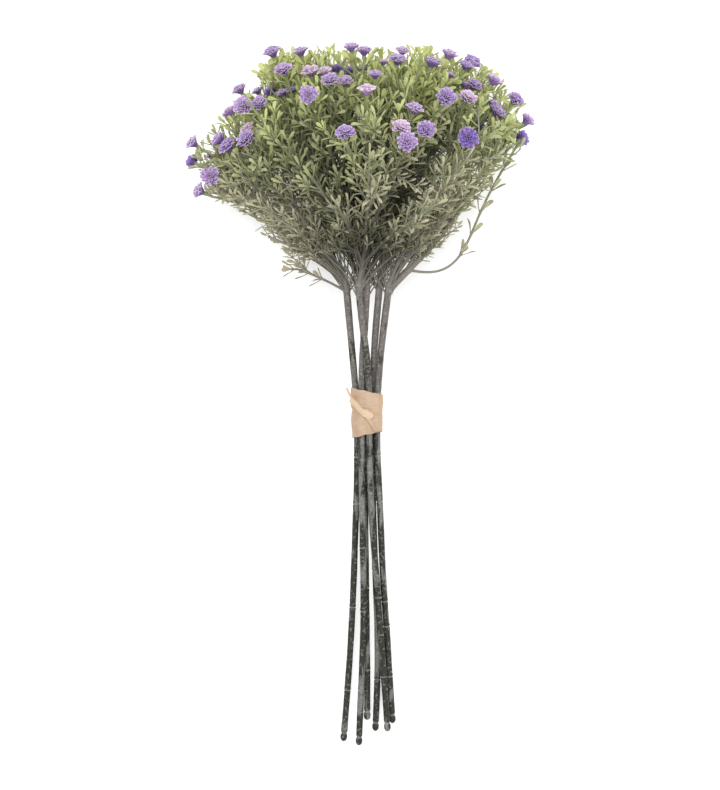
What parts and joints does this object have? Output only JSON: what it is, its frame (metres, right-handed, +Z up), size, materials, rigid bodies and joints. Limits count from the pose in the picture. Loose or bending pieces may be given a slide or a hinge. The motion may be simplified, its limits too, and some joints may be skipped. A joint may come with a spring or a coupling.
{
  "type": "bunch of dried gypsophila",
  "caption": "Bunch of dried double gypsophila with violet blooms on leafy ringed stems, bound with a raffia tie and lying down.",
  "frame": {"origin": "middle of the bunch's footprint on the surface that it lies on", "axes": "+Y along the stems from the feet to the crown, +X across to the right as seen from above with the crown up, +Z up"},
  "size_m": [0.1961, 0.4009, 0.1214],
  "materials": {
    "greenery": "dusty matte",
    "petals": "soft matte",
    "raffia": "dry satin fibre"
  },
  "bodies": {
    "root": {"leafy_stem_1": "greenery", "leafy_stem_2": "greenery", "leafy_stem_3": "greenery", "leafy_stem_4": "greenery", "leafy_stem_5": "greenery", "leafy_stem_6": "greenery", "bloom_01": "petals", "bloom_02": "petals", "bloom_03": "petals", "bloom_04": "petals", "bloom_05": "petals", "bloom_06": "petals", "bloom_07": "petals", "bloom_08": "petals", "bloom_09": "petals", "bloom_10": "petals", "bloom_11": "petals", "bloom_12": "petals", "bloom_13": "petals", "bloom_14": "petals", "bloom_15": "petals", "bloom_16": "petals", "bloom_17": "petals", "bloom_18": "petals", "bloom_19": "petals", "bloom_20": "petals", "bloom_21": "petals", "bloom_22": "petals", "bloom_23": "petals", "bloom_24": "petals", "bloom_25": "petals", "bloom_26": "petals", "bloom_27": "petals", "bloom_28": "petals", "bloom_29": "petals", "bloom_30": "petals", "bloom_31": "petals", "bloom_32": "petals", "bloom_33": "petals", "bloom_34": "petals", "bloom_35": "petals", "bloom_36": "petals", "bloom_37": "petals", "bloom_38": "petals", "bloom_39": "petals", "bloom_40": "petals", "bloom_41": "petals", "bloom_42": "petals", "bloom_43": "petals", "bloom_44": "petals", "bloom_45": "petals", "bloom_46": "petals", "bloom_47": "petals", "bloom_48": "petals", "bloom_49": "petals", "bloom_50": "petals", "bloom_51": "petals", "bloom_52": "petals", "raffia_tie": "raffia"}
  },
  "joints": []
}
